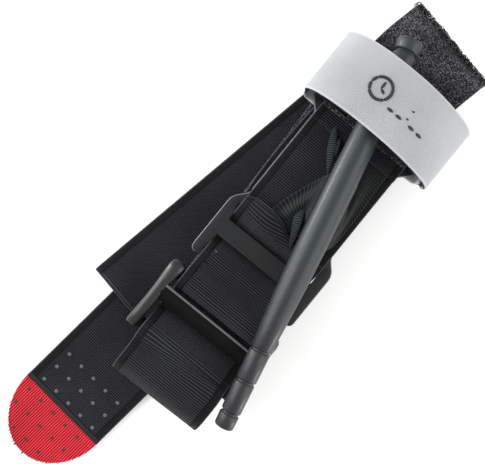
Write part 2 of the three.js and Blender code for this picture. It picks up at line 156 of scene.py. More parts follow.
class Nodes:
    """A material's node tree, with short calls for the nodes that these materials use."""

    def __init__(self, name, colour, roughness, **sockets):
        self.material = bpy.data.materials.new(name)
        self.material.use_nodes = True
        self.tree = self.material.node_tree
        self.shader = self.tree.nodes["Principled BSDF"]
        self.shader.inputs["Base Color"].default_value = (*colour, 1)
        self.shader.inputs["Roughness"].default_value = roughness
        for socket, value in sockets.items():
            self.shader.inputs[socket.replace("_", " ")].default_value = value

    def _feed(self, socket, value):
        if isinstance(value, bpy.types.NodeSocket):
            self.tree.links.new(value, socket)
        elif value is not None:
            socket.default_value = value

    def math(self, operation, a, b=None, c=None, clamp=False):
        node = self.tree.nodes.new("ShaderNodeMath")
        node.operation, node.use_clamp = operation, clamp
        for socket, value in zip(node.inputs, (a, b, c)):
            self._feed(socket, value)
        return node.outputs[0]

    def times(self, a, b):
        return self.math("MULTIPLY", a, b)

    def plus(self, a, b):
        return self.math("ADD", a, b)

    def times_plus(self, a, b, c):
        return self.math("MULTIPLY_ADD", a, b, c)

    def parts(self, vector):
        split = self.tree.nodes.new("ShaderNodeSeparateXYZ")
        self.tree.links.new(vector, split.inputs[0])
        return split.outputs

    def uv(self):
        """Across and along the cloth, in millimetres."""
        return self.parts(self.tree.nodes.new("ShaderNodeUVMap").outputs[0])[:2]

    def place(self):
        return self.tree.nodes.new("ShaderNodeTexCoord").outputs["Object"]

    def noise(self, scale, detail=3, stretch=None):
        """Noise in object space; scale is in features per metre."""
        place = self.place()
        if stretch:
            mapping = self.tree.nodes.new("ShaderNodeMapping")
            mapping.inputs["Scale"].default_value = stretch
            self.tree.links.new(place, mapping.inputs["Vector"])
            place = mapping.outputs[0]
        node = self.tree.nodes.new("ShaderNodeTexNoise")
        node.inputs["Scale"].default_value = scale
        node.inputs["Detail"].default_value = detail
        self.tree.links.new(place, node.inputs["Vector"])
        return node.outputs[0]

    def mix(self, share, a, b):
        node = self.tree.nodes.new("ShaderNodeMix")
        node.data_type = "RGBA"
        for socket, value in zip((node.inputs[0], node.inputs[6], node.inputs[7]), (share, a, b)):
            self.tree.links.new(value, socket)
        return node.outputs[2]

    def cells(self, scale):
        node = self.tree.nodes.new("ShaderNodeTexVoronoi")
        node.inputs["Scale"].default_value = scale
        self.tree.links.new(self.place(), node.inputs["Vector"])
        return node.outputs["Distance"]

    def beyond(self, value, limit, soft):
        """0 up to the limit, then rising to 1 over soft."""
        return self.math("MULTIPLY_ADD", value, 1 / soft, -limit / soft, clamp=True)

    def ramp(self, value, *stops):
        node = self.tree.nodes.new("ShaderNodeValToRGB")
        while len(node.color_ramp.elements) < len(stops):
            node.color_ramp.elements.new(0.5)
        for element, (place, colour) in zip(node.color_ramp.elements, stops):
            element.position = place
            element.color = (*colour, 1)
        self.tree.links.new(value, node.inputs[0])
        return node.outputs[0]

    def colour(self, value):
        self.tree.links.new(value, self.shader.inputs["Base Color"])

    def roughness(self, value):
        self.tree.links.new(value, self.shader.inputs["Roughness"])

    def bump(self, height, depth_mm, strength=1.0):
        node = self.tree.nodes.new("ShaderNodeBump")
        node.inputs["Strength"].default_value = strength
        node.inputs["Distance"].default_value = depth_mm * MM
        self.tree.links.new(height, node.inputs["Height"])
        self.tree.links.new(node.outputs[0], self.shader.inputs["Normal"])


def plain(name, colour, roughness, **sockets):
    """Even, with a faint grain."""
    nodes = Nodes(name, colour, roughness, **sockets)
    nodes.bump(nodes.noise(400), 0.05, 0.2)
    return nodes.material


def shades(colour, *amounts):
    return [tuple(min(1, c * a) for c in colour) for a in amounts]


def ribbed(name, colour, pitch, lengthwise=False, depth=0.3, contrast=1.0, hem=None):
    """Grosgrain: rounded ribs with finer yarns crossing them, and plainer cloth outside a hem's seam. Ridges
    are painted lighter and valleys darker as painted highlight and shade, the seam is darkened and each
    selvedge carries a painted highlight.
    """
    nodes = Nodes(name, colour, 0.62, Sheen_Weight=0.05, Sheen_Roughness=0.45, Specular_IOR_Level=0.16)
    across, along = nodes.uv()
    from_middle = nodes.math("ABSOLUTE", across)
    if lengthwise:
        across, along = along, across
    wander = nodes.times(nodes.noise(60, 1), 0.15)
    rib_phase = nodes.times(nodes.plus(along, wander), 2 * math.pi / pitch)
    rib = nodes.plus(nodes.times(nodes.math("SINE", rib_phase), 0.5), 0.5)
    yarn = nodes.math("SINE", nodes.times(across, 2 * math.pi / YARN_PITCH))
    fuzz = nodes.noise(2600, 2)
    if hem:
        outside = nodes.beyond(from_middle, hem, 0.25)
        rib = nodes.times(rib, nodes.math("SUBTRACT", 1, nodes.times(outside, 0.55)))
    height = nodes.plus(nodes.times(yarn, 0.12), rib)
    height = nodes.plus(height, nodes.times(fuzz, 0.35))
    # painted highlight and shade: the colour follows the ribs' height, lighter on the ridges and darker in
    # the valleys
    shade = nodes.times_plus(rib, 0.62, nodes.times(nodes.noise(38, 4), 0.45))
    if hem:
        # the seam line is painted darker: partly the dark thread, partly painted shade in the seam's groove
        seam = nodes.beyond(nodes.math("ABSOLUTE", nodes.math("SUBTRACT", from_middle, hem)), 0.1, 0.5)
        shade = nodes.times(shade, nodes.times_plus(seam, 0.75, 0.25))
        # painted highlight: a lighter line along each selvedge
        selvedge = nodes.beyond(from_middle, hem + 2.2, 0.2)
        shade = nodes.times_plus(selvedge, 0.75, shade)
        height = nodes.times(height, nodes.times_plus(seam, 0.8, 0.2))
    nodes.bump(height, depth)
    dark, middle, light = shades(colour, 1 - 0.9 * contrast, 1.0, 1 + 5 * contrast)
    nodes.colour(nodes.ramp(shade, (0.2, dark), (0.55, middle), (0.92, light)))
    nodes.roughness(nodes.plus(nodes.times(fuzz, 0.25), 0.52))
    return nodes.material


def pile(name, colour):
    """The looped face of hook-and-loop tape: tangled yarn, speckled light and dark."""
    nodes = Nodes(name, colour, 0.85, Sheen_Weight=0.08, Sheen_Roughness=0.4, Specular_IOR_Level=0.1)
    tufts = nodes.cells(1500)
    fine = nodes.noise(2300, 4)
    height = nodes.plus(nodes.times(tufts, -0.8), fine)
    nodes.bump(height, 0.45)
    dark, middle, light = shades(colour, 0.4, 1.6, 13)
    shade = nodes.times_plus(fine, 0.8, nodes.times(nodes.noise(90), 0.2))
    nodes.colour(nodes.ramp(shade, (0.4, dark), (0.5, middle), (0.66, light)))
    return nodes.material


def woven(name, colour):
    """A fine plain weave with a denser selvedge at each side."""
    nodes = Nodes(name, colour, 0.7, Sheen_Weight=0.2, Sheen_Roughness=0.4, Specular_IOR_Level=0.3)
    across, along = nodes.uv()
    weft = nodes.math("SINE", nodes.times(along, 2 * math.pi / WEFT_PITCH))
    warp = nodes.math("SINE", nodes.times(across, 2 * math.pi / WARP_PITCH))
    weave = nodes.times_plus(weft, 0.3, nodes.times_plus(warp, 0.2, 0.5))
    height = nodes.plus(weave, nodes.times(nodes.noise(3000, 2), 0.4))
    nodes.bump(height, 0.11)
    cloud = nodes.times(nodes.noise(35, 3), 0.5)
    shade = nodes.plus(nodes.times(weave, 0.7), cloud)
    edge = nodes.beyond(nodes.math("ABSOLUTE", across), STRAP_SELVEDGE, 0.4)
    shade = nodes.times_plus(edge, 0.3, shade)
    dark, middle, light = shades(colour, 0.58, 0.98, 1.4)
    nodes.colour(nodes.ramp(shade, (0.2, dark), (0.6, middle), (1.0, light)))
    return nodes.material


def moulded(name, colour, roughness, grain_mm=0.03, coat=0.0, specular=0.5, low_end=None):
    """Moulded plastic with grain and faint flow marks. low_end is the colour towards -X."""
    nodes = Nodes(name, colour, roughness, Specular_IOR_Level=specular, Coat_Weight=coat, Coat_Roughness=0.2)
    grain = nodes.noise(5200, 3)
    scuffs = nodes.noise(220, 5, stretch=(1, 5, 2))
    nodes.bump(nodes.plus(grain, nodes.times(scuffs, 0.5)), grain_mm)
    clouds = nodes.times(nodes.noise(25), 0.4)
    marks = nodes.times_plus(scuffs, 0.6, clouds)
    shade = nodes.ramp(marks, *zip((0.35, 0.66), shades(colour, 0.8, 1.3)))
    if low_end:
        other = nodes.ramp(marks, *zip((0.35, 0.66), shades(low_end, 0.8, 1.3)))
        shade = nodes.mix(nodes.beyond(nodes.parts(nodes.place())[0], -0.05, 0.035), other, shade)
    nodes.colour(shade)
    nodes.roughness(nodes.plus(nodes.times(scuffs, 0.22), roughness - 0.1))
    return nodes.material


def thread(name, colour):
    nodes = Nodes(name, colour, 0.6, Specular_IOR_Level=0.15)
    twist = nodes.noise(2400, 2, stretch=(1, 2.5, 1))
    nodes.bump(twist, 0.08)
    dark, light = shades(colour, 0.7, 1.3)
    nodes.colour(nodes.ramp(twist, (0.35, dark), (0.65, light)))
    return nodes.material


# ---- Routes: stations in millimetres ----

class Station:
    """A place on a ribbon: at, along, side (across the width) and normal (across the thickness)."""

    def __init__(self, at, side, normal, heading=0.0):
        self.at, self.side, self.normal, self.heading = Vector(at), Vector(side), Vector(normal), heading
        self.along = self.side.cross(self.normal)


def smooth_curve(points, step=STEP):
    """Points and directions, about step apart, on a centripetal Catmull-Rom curve through points."""
    points = [Vector(p) for p in points]
    points = [points[0] * 2 - points[1], *points, points[-1] * 2 - points[-2]]
    found = []
    for p0, p1, p2, p3 in zip(points, points[1:], points[2:], points[3:]):
        a, b, c = (max(1e-6, math.sqrt((q - p).length)) for p, q in ((p0, p1), (p1, p2), (p2, p3)))
        start = ((p1 - p0) / a - (p2 - p0) / (a + b) + (p2 - p1) / b) * b
        end = ((p2 - p1) / b - (p3 - p1) / (b + c) + (p3 - p2) / c) * b
        count = max(2, math.ceil((p2 - p1).length / step))
        for i in range(count + (p3 is points[-1])):
            t = i / count
            place = (p1 * (2 * t**3 - 3 * t**2 + 1) + start * (t**3 - 2 * t**2 + t)
                     + p2 * (3 * t**2 - 2 * t**3) + end * (t**3 - t**2))
            way = (p1 * (6 * t**2 - 6 * t) + start * (3 * t**2 - 4 * t + 1)
                   + p2 * (6 * t - 6 * t**2) + end * (3 * t**2 - 2 * t))
            found.append((place, way.normalized()))
    return found


def band_station(x, y, z, heading, pitch):
    flat = math.cos(pitch)
    along = Vector((math.cos(heading) * flat, math.sin(heading) * flat, math.sin(pitch)))
    side = Vector((-math.sin(heading), math.cos(heading), 0))
    return Station((x, y, z), side, along.cross(side), heading)


def run(points, back=False):
    stations = []
    for at, along in smooth_curve(points):
        slope = math.atan2(along.z, math.hypot(along.x, along.y))
        heading = math.atan2(-along.y, -along.x) if back else math.atan2(along.y, along.x)
        stations.append(band_station(*at, heading, -math.pi - slope if back else slope))
    return stations


def fold(start, end, back=False, steps=18):
    radius = (start.at.z - end.at.z) / 2
    stations = []
    for i in range(1, steps):
        share = i / steps
        pitch = (share - 1 if back else -share) * math.pi
        heading = start.heading + share * (end.heading - start.heading)
        place = band_station(start.at.x, start.at.y, start.at.z - radius, heading, pitch)
        place.at += place.normal * (-radius if back else radius)
        stations.append(place)
    return stations


def ramp_points(from_x, from_z, to_x, to_z):
    eased = [(u, u * u * (3 - 2 * u)) for u in (0, 0.2, 0.4, 0.6, 0.8, 1)]
    return [(from_x + u * (to_x - from_x), 0, from_z + e * (to_z - from_z)) for u, e in eased]


def band_route():
    """The top run, and the whole folded route from the buckle to the tail's hinge."""
    near, far = CROSSBAR_X
    top = run([
        (-49.7, 0, 23.1), (-47, 0, 22.3), (-44.4, 0, 20.1), (-41.2, 0, TOP_RUN_Z),
        *ramp_points(near - PLATE_SLOT - 0.1, TOP_RUN_Z, near - 0.1, UNDER_BAR_Z),
        *ramp_points(far + 0.1, UNDER_BAR_Z, far + PLATE_SLOT + 0.1, TOP_RUN_Z),
        (-BUCKLE_LIP_X, 0, TOP_RUN_Z), (CLIP_LIP_X, 0, TOP_RUN_Z), (TAPE_START_X, 0, TOP_RUN_Z),
        (45, 0, TOP_RUN_Z), (60, -0.9, TOP_RUN_Z), (72.2, -3.3, TOP_RUN_Z)])
    bar_x, bar_z = LOWER_BAR
    over_bar = [(bar_x + LOWER_BAR_REACH * math.cos(a * DEG), 0, bar_z + LOWER_BAR_REACH * math.sin(a * DEG))
                for a in (35, 65, 95)]
    z = LAYER_Z[4]
    second = run([
        (72.2, -3.3, z), (60, -0.9, z), (30, 1.6, z), (0, 2.4, z), (-28, -0.4, z), (-49, -0.2, z),
        (-55.5, 0, 12.2), (-60.3, 0, 13.5), (-64.3, 0, 16.2), (-66.9, 0, 18.6), *over_bar,
        (-77.5, -0.5, 22.9), (-83.6, -0.6, 22.8)], back=True)
    z = LAYER_Z[3]
    third = run([(-83.6, -0.6, z), (-60, 0, z), (-30, 1.2, z), (0, 2.6, z), (40, 3.4, z), (54, 3.1, z)])
    z = LAYER_Z[2]
    fourth = run([(54, 3.1, z), (40, 5.8, z), (-71.6, 27.5, z)], back=True)
    z = LAYER_Z[1]
    fifth = run([(-71.6, 27.5, z), (40, 5.8, z), (53, 3.2, z)])
    route = [*top, *fold(top[-1], second[0]), *second, *fold(second[-1], third[0], True), *third,
             *fold(third[-1], fourth[0], steps=10), *fourth, *fold(fourth[-1], fifth[0], True, 10), *fifth]
    z = LAYER_Z[0]
    tail = run([(53, 3.2, z), (-26.5, 12.2, z), (-121, 23, z)], back=True)
    return top, route, [*fold(fifth[-1], tail[0], steps=12), *tail]


# ---- Meshes: in millimetres until make_object ----

def make_object(name, vertices, faces, material, uvs=None, slot=None, nodes=(), sharp_angle=None):
    mesh = bpy.data.meshes.new(name)
    mesh.from_pydata([tuple(c * MM for c in v) for v in vertices], [], faces)
    if uvs:
        layer = mesh.uv_layers.new(name="UVMap")
        for loop in mesh.loops:
            layer.data[loop.index].uv = uvs[loop.vertex_index]
    mesh.materials.append(material)
    made = linked(name, mesh)
    mesh.shade_smooth()
    if sharp_angle:
        mesh.set_sharp_from_angle(angle=sharp_angle * DEG)
    if nodes:
        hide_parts(*nodes)
    return made


def ring_faces(rows, ring):
    """Quads between rings of vertices, facing out, and a cap on each end."""
    faces = []
    for i in range(rows - 1):
        for j in range(ring):
            a, b = i * ring + j, i * ring + (j + 1) % ring
            faces.append((a, b, b + ring, a + ring))
    return [*faces, tuple(reversed(range(ring))), tuple(range((rows - 1) * ring, rows * ring))]


def joined(shells):
    """The vertices and the faces of several closed shells, in one list each."""
    vertices, faces = [], []
    for shell_vertices, shell_faces in shells:
        first = len(vertices)
        vertices += shell_vertices
        faces += [tuple(first + k for k in face) for face in shell_faces]
    return vertices, faces


def turns(sides):
    return [2 * math.pi * k / sides for k in range(sides)]


def lengths_along(stations):
    total = [0.0]
    for a, b in zip(stations, stations[1:]):
        total.append(total[-1] + (b.at - a.at).length)
    return total


def across_places(width, columns):
    """Places across a ribbon, closer together at its two edges, each with its share of the thickness."""
    half = width / 2
    inner = half - 1.3
    edge = [(half, 0.35), (half - 0.12, 0.8), (half - 0.35, 1.12), (half - 0.8, 1.12)]
    middle = [(-inner + 2 * inner * k / columns, 1.0) for k in range(columns + 1)]
    return [(-w, t) for w, t in edge] + middle + [(w, t) for w, t in reversed(edge)]


def ribbon(name, stations, width, ply, material, slot, nodes=(), columns=12, lift=None, narrow=None,
           shift=None):
    """A woven ribbon with rounded selvedges. ply is a pair, or a function of the station that gives one.
    lift(station, w) moves it along its normal and shift(station, w) along its length, in millimetres."""
    places = across_places(width, columns)
    vertices, uvs = [], []
    for station, v in zip(stations, lengths_along(stations)):
        scale = narrow(station) if narrow else 1
        low, high = ply(station) if callable(ply) else ply
        middle, half_thick = (low + high) / 2, (high - low) / 2
        for face, order in ((-1, places), (1, reversed(places))):
            for w, share in order:
                height = middle + face * half_thick * share + (lift(station, w) if lift else 0)
                further = shift(station, w) if shift else 0
                vertices.append(station.at + station.side * (w * scale) + station.normal * height
                                + station.along * further)
                uvs.append((w * scale, v + further))
    faces = ring_faces(len(stations), 2 * len(places))
    return make_object(name, vertices, faces, material, uvs, slot, nodes)


def sheet_grid(name, point_at, columns, rows, thick, size, material, slot, nodes=()):
    """A sheet of even thickness. point_at takes u, along it, and v, across it, from 0 to 1; size is its
    width and length."""
    step = 1e-3
    wide = columns + 1
    vertices, uvs = [], []
    for face in (-0.5, 0.5):
        for j in range(rows + 1):
            for i in range(wide):
                u, v = i / columns, j / rows
                du = point_at(u + step, v) - point_at(u - step, v)
                dv = point_at(u, v + step) - point_at(u, v - step)
                rim = 0.5 if j in (0, rows) else 1
                vertices.append(point_at(u, v) + du.cross(dv).normalized() * (face * thick * rim))
                uvs.append((v * size[0], u * size[1]))
    upper = wide * (rows + 1)
    faces = []
    for j in range(rows):
        for i in range(columns):
            a, b, c, d = j * wide + i, j * wide + i + 1, (j + 1) * wide + i + 1, (j + 1) * wide + i
            faces += [(a, d, c, b), (a + upper, b + upper, c + upper, d + upper)]
    for i in range(columns):
        far = rows * wide + i
        faces += [(i, i + 1, i + 1 + upper, i + upper), (far + 1, far, far + upper, far + 1 + upper)]
    for j in range(rows):
        low, high = j * wide, (j + 1) * wide
        faces += [(high, low, low + upper, high + upper),
                  (low + columns, high + columns, high + columns + upper, low + columns + upper)]
    return make_object(name, vertices, faces, material, uvs, slot, nodes)


def tube(line, radius, sides, taper):
    vertices = []
    for i, point in enumerate(line):
        along = (line[min(i + 1, len(line) - 1)] - line[max(i - 1, 0)]).normalized()
        across = along.orthogonal().normalized()
        other = along.cross(across)
        reach = radius * (taper if i in (0, len(line) - 1) else 1)
        for turn in turns(sides):
            vertices.append(point + (across * math.cos(turn) + other * math.sin(turn)) * reach)
    return vertices, ring_faces(len(line), sides)


def tubes(name, lines, radius, material, slot, sides=5, taper=0.4):
    """Thin threads, one closed tube along each list of points, joined in one piece."""
    shells = joined([tube(line, radius, sides, taper) for line in lines])
    return make_object(name, *shells, material, slot=slot)


def dome(centre, radius, height):
    rings = ((1.0, -0.1), (0.92, 0.6), (0.6, 1.0), (0.2, 1.0))
    sides = 12
    vertices = [centre + Vector((radius * reach * math.cos(turn), radius * reach * math.sin(turn),
                                 height * share))
                for reach, share in rings for turn in turns(sides)]
    return vertices, ring_faces(len(rings), sides)


def dots(name, centres, radius, height, material, slot):
    """Low round domes, where the layers are welded together."""
    shells = joined([dome(centre, radius, height) for centre in centres])
    return make_object(name, *shells, material, slot=slot)


def on_surface(stations, totals, s, w, height, lift=None, shift=None):
    """The point at length s along a ribbon, w across it, height above its centre line."""
    i = min(max(int(np.searchsorted(totals, s)), 1), len(stations) - 1)
    a, b = stations[i - 1], stations[i]
    share = (s - totals[i - 1]) / max(1e-6, totals[i] - totals[i - 1])
    points = []
    for station in (a, b):
        extra = lift(station, w) if lift else 0
        further = shift(station, w) if shift else 0
        points.append(station.at + station.side * w + station.normal * (height + extra)
                      + station.along * further)
    return points[0].lerp(points[1], min(max(share, 0), 1))


def stitch_rows(name, stations, height, lift=None, shift=None):
    """A row of lockstitch along each hem: each stitch dips into the cloth at its two ends."""
    totals = lengths_along(stations)
    lines = []
    for w in (-HEM, HEM):
        s = 1.0
        while s + STITCH < totals[-1] - 0.6:
            shape = ((0, -0.16), (0.25, 0.06), (0.75, 0.06), (1, -0.16))
            lines.append([on_surface(stations, totals, s + t * STITCH, w, height + h, lift, shift)
                          for t, h in shape])
            s += STITCH + STITCH_GAP
    return tubes(name, lines, 0.13, thread_dark, "ribbed_ribbon")


def refined(node, bevel_mm):
    """A moulded piece: the CAD node's own shape with its edges rounded, and a painted highlight on the upward
    bevels along its outer sides.
    """
    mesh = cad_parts[node].data.copy()
    mesh.materials.clear()
    mesh.materials.append(plastic_plate)
    mesh.materials.append(plastic_highlight)
    shape = bmesh.new()
    shape.from_mesh(mesh)
    bmesh.ops.remove_doubles(shape, verts=shape.verts, dist=1e-6)
    bmesh.ops.dissolve_limit(shape, angle_limit=2 * DEG, verts=shape.verts, edges=shape.edges)
    sharp = [e for e in shape.edges if len(e.link_faces) == 2 and e.calc_face_angle(0) > 28 * DEG]
    done = bmesh.ops.bevel(shape, geom=sharp, offset=bevel_mm * MM, segments=3, profile=0.5,
                           affect="EDGES", clamp_overlap=False)
    shape.normal_update()
    for face in done["faces"]:
        # painted highlight: outer bevels that face up take the bright plastic
        y = face.calc_center_median().y
        outer = abs(y) > HIGHLIGHT_SIDE_Y * MM and y * face.normal.y > 0
        face.material_index = outer and face.normal.z > 0.2
    bmesh.ops.triangulate(shape, faces=[f for f in shape.faces if len(f.verts) > 4])
    shape.to_mesh(mesh)
    shape.free()
    made = linked(node + "_moulding", mesh)
    mesh.shade_smooth()
    mesh.set_sharp_from_angle(angle=40 * DEG)
    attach(made, "band")
    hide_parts(node)


def turned(name, profile, sides, material, slot, nodes):
    """A solid of revolution about X from (place, radius) pairs."""
    vertices = [Vector((place, radius * math.cos(turn), radius * math.sin(turn)))
                for place, radius in profile for turn in turns(sides)]
    return make_object(name, vertices, ring_faces(len(profile), sides), material, slot=slot, nodes=nodes,
                       sharp_angle=50)


# ---- Pieces ----

cloth_black = ribbed("ribbed_black", (0.0075, 0.0078, 0.0095), 0.86, hem=HEM)
cloth_tension = ribbed("tension_webbing", (0.006, 0.008, 0.008), 0.84, depth=0.18, contrast=0.6)
cloth_pile = pile("loop_pile", (0.0165, 0.0165, 0.018))
cloth_red = ribbed("red_tape", (0.48, 0.008, 0.014), 0.9, lengthwise=True, depth=0.3, contrast=0.88)
cloth_grey = woven("grey_webbing", (0.37, 0.385, 0.395))
cloth_hem = plain("black_hem", (0.012, 0.012, 0.013), 0.6, Specular_IOR_Level=0.25)
thread_dark = thread("dark_thread", (0.004, 0.004, 0.005))
thread_light = thread("light_fibre", (0.07, 0.075, 0.08))
thread_highlight = thread("selvedge_highlight_thread", (0.2, 0.21, 0.22))
weld_light = plain("weld_light", (0.19, 0.2, 0.21), 0.5)
weld_grey = plain("weld_grey", (0.085, 0.09, 0.1), 0.45)
weld_dark = plain("weld_dark", (0.05, 0.012, 0.014), 0.5)
ink = plain("grey_ink", (0.014, 0.015, 0.017), 0.7)
plastic_plate = moulded("plate_plastic", (0.006, 0.0068, 0.0078), 0.5, specular=0.35)
plastic_buckle = moulded("buckle_plastic", (0.002, 0.0022, 0.0026), 0.6, grain_mm=0.04, specular=0.12)
plastic_rail = moulded("rail_plastic", (0.008, 0.0084, 0.0095), 0.38, grain_mm=0.015, coat=0.2)
# painted highlight: bright plastic for upward outer bevels and the buckle's bright line
plastic_highlight = moulded("painted_highlight_plastic", (0.1, 0.104, 0.11), 0.35)
plastic_rod = moulded("rod_plastic", (0.011, 0.018, 0.0185), 0.52, grain_mm=0.015, coat=0.12,
                      low_end=(0.0072, 0.0074, 0.0098))
# painted highlight: a lighter, higher-contrast copy of the tension webbing for the folds tilted up against
# the rod
cloth_pleat_lit = ribbed("webbing_pleat_lit", (0.008, 0.0115, 0.0115), 0.84, depth=0.18, contrast=0.8)

top_run, folded_route, tail_route = band_route()


def declare(width, stations):
    flat = (width * MM, lengths_along(stations)[-1] * MM)


def laid(name, stations, width, ply, material, slot, nodes, rests_on, body="band", held="folded", **shape):
    """A ribbon that rides on one body."""
    piece = ribbon(name, stations, width, ply, material, slot, nodes, **shape)
    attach(piece, body)
    declare(width, stations)


def between(stations, low, high):
    return [s for s in stations if low - 0.01 <= s.at.x <= high + 0.01]


def smoothstep(low, high, value):
    t = min(1, max(0, (value - low) / (high - low)))
    return t * t * (3 - 2 * t)


def sag(station, w):
    """The small waves of a worn band. They fade out where the band is held."""
    at = station.at * 0.045
    free = 1 - 0.8 * smoothstep(-20, -38, station.at.x) * smoothstep(-76, -70, station.at.x)
    return 0.28 * free * noise.noise(Vector((at.x, at.y + w * 0.05, at.z * 2)))


def on_top(station):
    """1 on the top run and 0 in the loop round the buckle's upper bar."""
    return smoothstep(UPPER_BAR[0], UPPER_BAR[0] + 4, station.at.x) if station.normal.z > 0 else 0


def lip_lift(station, w):
    """The cover ribbon's end arches up where the tension band comes out from under it."""
    near_end = smoothstep(-25, -BUCKLE_LIP_X, station.at.x)
    arch = math.exp(-((w - 8) / 8.5) ** 2)
    return on_top(station) * (sag(station, w) + 3.4 * near_end * arch)


def lip_shift(station, w):
    """The cover ribbon's end is an arch in plan too: furthest out near w = 10, drawn back at its sides."""
    near_end = smoothstep(-25, -BUCKLE_LIP_X, station.at.x)
    back = ((w - 9.5) / 9.5) ** 4 * 2.2 if w > 9.5 else min(5, ((9.5 - w) / 12.4) ** 2 * 4.5)
    return near_end * on_top(station) * (2.8 - back)


def clip_lip_lift(station, w):
    near_end = smoothstep(TAPE_START_X, CLIP_LIP_X, station.at.x)
    return sag(station, w) + 1.2 * near_end * math.exp(-((w + 9) / 7) ** 2)


def make_cover():
    """The cover ribbon in one piece: from its lip round the buckle's upper bar and back under itself."""
    bar_x, bar_z = UPPER_BAR
    loop = [band_station(x, 0, bar_z - END_LOOP_RADIUS, 0, -math.pi)
            for x in (-44.4, -45.8, -47.2, -48.6, bar_x)]
    for i in range(1, 17):
        place = band_station(bar_x, 0, bar_z, 0, -math.pi * (1 + i / 17))
        place.at += place.normal * END_LOOP_RADIUS
        loop.append(place)
    stations = loop + between(top_run, bar_x, -BUCKLE_LIP_X)
    whole = (RIBBON_PLY[0], COVER_PLY[1])
    laid("cover_ribbon_cloth", stations, BAND_WIDTH, lambda st: whole if st in loop else COVER_PLY,
         cloth_black, "ribbed_ribbon", ["cover_ribbon_buckle_side", "buckle_end_loop"],
         ["base_ribbon_cloth", "friction_buckle_moulding"], columns=30, lift=lip_lift, shift=lip_shift)
    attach(stitch_rows("cover_stitching", stations, COVER_PLY[1], lip_lift, lip_shift), "band")
    totals = lengths_along(stations)
    # painted highlight: a light line along the lip's edge
    rim = [on_surface(stations, totals, totals[-1], w, COVER_PLY[1] - 0.15, lip_lift, lip_shift)
           for w in np.linspace(-18.8, 18.8, 60)]
    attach(tubes("cover_lip_highlight", [rim], 0.14, thread_light, "ribbed_ribbon"), "band")
    make_band_marks(stations, totals)


def make_band_marks(stations, totals):
    """Loose white stitches, a small dark spot, and a painted highlight along the sleeve's edge past the
    plate.
    """
    upper = [i for i, station in enumerate(stations) if station.normal.z > 0]

    def above(x, y):
        i = min(upper, key=lambda k: abs(stations[k].at.x - x))
        return on_surface(stations, totals, totals[i], y, COVER_PLY[1], lip_lift)

    stitches = [[above(-35.2, y), above(-35.2, y) + Vector((dx, 0.1, 0.35)), above(-36.4, y + 0.2)]
                for y, dx in ((14.7, -0.4), (15.5, -0.6))]
    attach(tubes("loose_stitches", stitches, 0.16, weld_light, "ribbed_ribbon"), "band")
    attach(dots("worn_hole", [above(-41, 15.2)], 0.75, 0.08, thread_dark, "ribbed_ribbon"), "band")
    # painted highlight: a bright thread along the sleeve's edge
    edge = Vector((0, BAND_WIDTH / 2, sum(RIBBON_PLY) / 2))
    selvedge = [station.at + edge for station in between(top_run, -10.5, 28)]
    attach(tubes("sleeve_edge_highlight", [selvedge], 0.19, thread_highlight, "ribbed_ribbon"), "band")


def route_from(x):
    """The folded route from the first place past x."""
    return folded_route[next(i for i, station in enumerate(folded_route) if station.at.x >= x):]


def make_folded_band():
    """The sleeve's back, its short cover, the tape and the inner band. Returns the tape's route."""
    laid("base_ribbon_cloth", folded_route, BAND_WIDTH, RIBBON_PLY, cloth_black, "ribbed_ribbon",
         ["base_ribbon"], ["stabilizer_plate_moulding", "friction_buckle_moulding"], lift=sag)
    laid("cover_ribbon_clip_cloth", between(top_run, CLIP_LIP_X, TAPE_START_X + 5), BAND_WIDTH, COVER_PLY,
         cloth_black, "ribbed_ribbon", ["cover_ribbon_clip_side"], ["base_ribbon_cloth"], columns=20,
         lift=clip_lip_lift)
    tape_route = route_from(TAPE_START_X)
    laid("hook_loop_cloth", tape_route, BAND_WIDTH, TAPE_PLY, cloth_pile, "loop_tape", ["hook_loop_tape"],
         ["base_ribbon_cloth"], lift=sag)
    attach(stitch_rows("base_stitching", folded_route, RIBBON_PLY[0] - 0.03, sag), "band")
    laid("tension_band_buckle_cloth", between(top_run, UPPER_BAR[0], -BUCKLE_LIP_X), TENSION_WIDTH,
         TENSION_PLY, cloth_tension, "tension_webbing", ["tension_band_buckle_run"], ["base_ribbon_cloth"],
         lift=sag)
    laid("tension_band_sleeve_cloth", route_from(CLIP_LIP_X), TENSION_WIDTH, TENSION_PLY, cloth_tension,
         "tension_webbing", ["tension_band_sleeve_run"], ["base_ribbon_cloth"], columns=6, lift=sag)
    return tape_route


def flap_point(u, v, way):
    """u goes from the sleeve's lip to the rod's slot, v across the band."""
    across = v - 0.5
    lip_x, reach, shift, out = (-BUCKLE_LIP_X, 4, 2.5, 1.5) if way > 0 else (CLIP_LIP_X, 9, 0, 5)
    lip = Vector((lip_x - way * 1.2, FLAP_Y + way * across * TENSION_WIDTH, TOP_RUN_Z + 0.1))
    edge = SLOT + ROD_ALONG * (way * across * TENSION_WIDTH) + ROD_ACROSS * (way * 4.6)
    out_of_lip = lip + Vector((way * reach, way * shift, 0.5))
    into_slot = edge + ROD_ACROSS * (way * out) + Vector((0, 0, -6.5))
    t = 1 - u
    point = lip * t**3 + out_of_lip * (3 * t * t * u) + into_slot * (3 * t * u * u) + edge * u**3
    crease = math.sin(math.pi * min(1, max(0, u))) ** 1.3
    pleat = 0.9 * math.sin(2 * math.pi * (1.6 * v + 0.35 * u)) + 0.5 * math.sin(2 * math.pi * 3.1 * v)
    if way < 0:
        ridges = 2.2 * math.exp(-((v - 0.08) / 0.045) ** 2) + 1.8 * math.exp(-((v - 0.25) / 0.045) ** 2)
        pleat = pleat * 0.6 + ridges * smoothstep(0.75, 0.3, u)
    return point + Vector((0, way * 0.4, 1)).normalized() * (crease * pleat)


